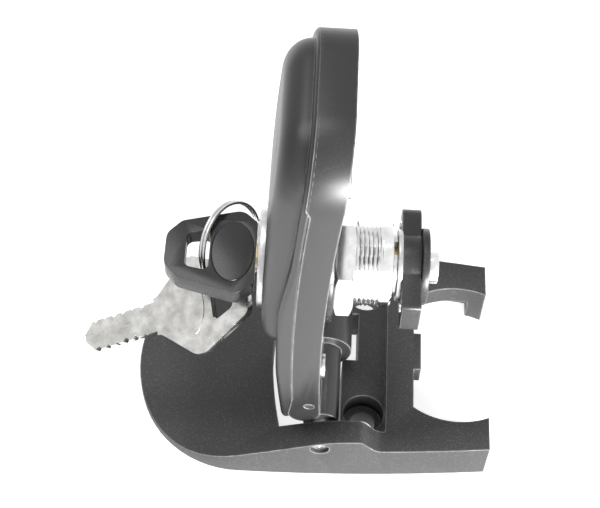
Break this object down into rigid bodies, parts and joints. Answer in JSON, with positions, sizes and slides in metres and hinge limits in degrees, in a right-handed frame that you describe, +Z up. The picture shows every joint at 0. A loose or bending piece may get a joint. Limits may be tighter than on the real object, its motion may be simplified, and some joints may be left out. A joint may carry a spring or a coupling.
{
  "type": "hinged cam lock",
  "caption": "Keyed cam lock for hasp or door use: a screw-down cast fork base and a domed hinged lid that carries a cam lock with key, ring and spare key.",
  "frame": {"origin": "midpoint between the two screw holes, on the plane of the base's underside rim", "axes": "+X from the tail to the mouth of the fork, +Y along the hinge pin, +Z up from the mounting surface, with the lid standing open"},
  "size_m": [0.1106, 0.0654, 0.1283],
  "materials": {
    "cast_black": "speckled powder coat",
    "lid_grey": "semi-gloss powder coat",
    "steel": "satin",
    "bright_plate": "bright zinc or nickel plate",
    "seal_rubber": "matt",
    "plug_brass": "satin",
    "black_steel": "black oxide",
    "nickel": "nickel plated",
    "black_plastic": "moulded, satin"
  },
  "bodies": {
    "base": {"base_casting": "cast_black", "hinge_pin": "steel"},
    "lid": {"lid_inner_shell": "lid_grey", "lid_outer_shell": "lid_grey", "lid_screws": "steel", "lid_side_pins": "steel", "lock_escutcheon": "steel", "lock_barrel": "bright_plate", "lock_gasket": "seal_rubber", "lock_nut": "bright_plate"},
    "lock_core": {"plug": "plug_brass", "wafer_tumblers": "plug_brass", "plug_clip": "steel", "cam_stop_washer": "steel", "cam": "black_steel", "cam_tip_pins": "steel", "cam_hub_washer": "black_steel", "cam_bolt": "bright_plate"},
    "key": {"key_blade": "nickel", "key_head": "black_plastic", "key_badge": "black_plastic"},
    "ring": {"split_ring": "steel"},
    "spare": {"spare_key": "nickel"}
  },
  "joints": [
    {"name": "lid_hinge", "type": "hinge", "parent": "base", "child": "lid", "pos_m": [-0.0115, 0, 0.0153], "axis": [0, 1, 0], "range_deg": [0, 90]},
    {"name": "lock_turn", "type": "hinge", "parent": "lid", "child": "lock_core", "pos_m": [-0.0298, 0, 0.0578], "axis": [-1, 0, 0], "range_deg": [0, 90]},
    {"name": "key_pull", "type": "slide", "parent": "lock_core", "child": "key", "axis": [-1, 0, 0], "range_m": [0, 0.026]},
    {"name": "ring_swing", "type": "hinge", "parent": "key", "child": "ring", "pos_m": [-0.03994, 0.00802, 0.0578], "axis": [0.446, 0.895, 0], "range_deg": [0, 10]},
    {"name": "spare_swing", "type": "hinge", "parent": "ring", "child": "spare", "pos_m": [-0.04021, -0.00421, 0.04651], "axis": [-0.5283, -0.2071, 0.8234], "range_deg": [-14, 0]}
  ]
}
